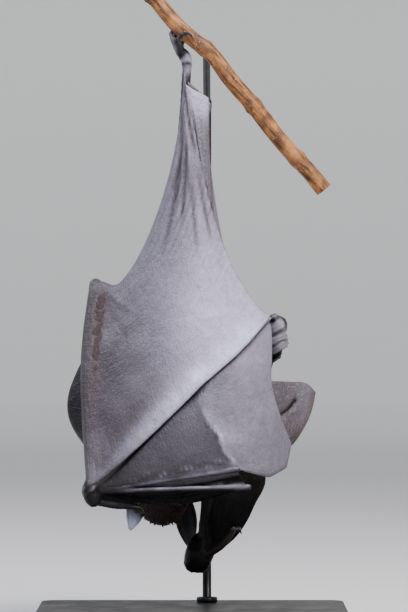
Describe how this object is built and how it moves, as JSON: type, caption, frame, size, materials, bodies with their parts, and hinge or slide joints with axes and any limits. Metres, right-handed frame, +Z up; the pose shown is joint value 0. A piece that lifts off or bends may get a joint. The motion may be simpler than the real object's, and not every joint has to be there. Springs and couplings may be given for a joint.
{
  "type": "fruit bat model",
  "caption": "Life-size large fruit bat hanging asleep by one foot, wings wrapped round its belly, on a cut branch held by a display stand.",
  "frame": {"origin": "middle of the underside of the stand's base", "axes": "+Z up, -Y the way the bat's belly and muzzle face, -X the bat's own left side"},
  "size_m": [0.25, 0.22, 0.5278],
  "materials": {
    "wing_membrane": "thin grey skin with a soft sheen",
    "bare_skin": "dark bare skin, satin",
    "fur": "dense dark brown fur, redder on the neck",
    "claw": "black horn, polished",
    "eye": "dark brown, wet",
    "bark": "thin tan bark",
    "stand_rod": "black satin paint",
    "stand_base": "dark lacquer, satin"
  },
  "bodies": {
    "root": {"perch_branch": "bark", "stand_base": "stand_base", "stand_post": "stand_rod", "stand_arm": "stand_rod", "eye_left": "eye", "eye_right": "eye", "foot_left_claw_1": "claw", "foot_right_claw_1": "claw", "foot_left_claw_2": "claw", "foot_right_claw_2": "claw", "foot_left_claw_3": "claw", "foot_right_claw_3": "claw", "foot_left_claw_4": "claw", "foot_right_claw_4": "claw", "foot_left_claw_5": "claw", "foot_right_claw_5": "claw", "foot_left": "bare_skin", "foot_right": "bare_skin", "leg_left_shank": "bare_skin", "leg_right_shank": "bare_skin", "head": "fur", "ear_left": "bare_skin", "ear_right": "bare_skin", "neck": "fur", "trunk": "fur", "leg_left_thigh": "fur", "leg_right_thigh": "fur", "wing_left_thumb_claw": "claw", "wing_left_wrist": "bare_skin", "wing_left_thumb": "bare_skin", "wing_left_forearm": "bare_skin", "wing_left_upper_arm": "fur", "wing_left_metacarpal_5": "bare_skin", "wing_left_fingertip_5": "bare_skin", "wing_left_digit_4": "bare_skin", "wing_left_digit_3": "bare_skin", "wing_right_thumb_claw": "claw", "wing_right_wrist": "bare_skin", "wing_right_thumb": "bare_skin", "wing_right_forearm": "bare_skin", "wing_right_upper_arm": "fur", "wing_right_metacarpal_5": "bare_skin", "wing_right_fingertip_5": "bare_skin", "wing_right_digit_4": "bare_skin", "wing_right_digit_3": "bare_skin", "wing_left_hand_membrane": "wing_membrane", "wing_left_body_membrane": "wing_membrane", "wing_left_tip_membrane": "wing_membrane", "wing_left_finger_fold": "wing_membrane", "wing_left_thumb_web": "bare_skin", "wing_left_shoulder_membrane": "wing_membrane", "wing_right_body_membrane": "wing_membrane", "wing_right_hand_membrane": "wing_membrane", "wing_right_shoulder_membrane": "wing_membrane", "tail_membrane": "wing_membrane"}
  },
  "joints": []
}
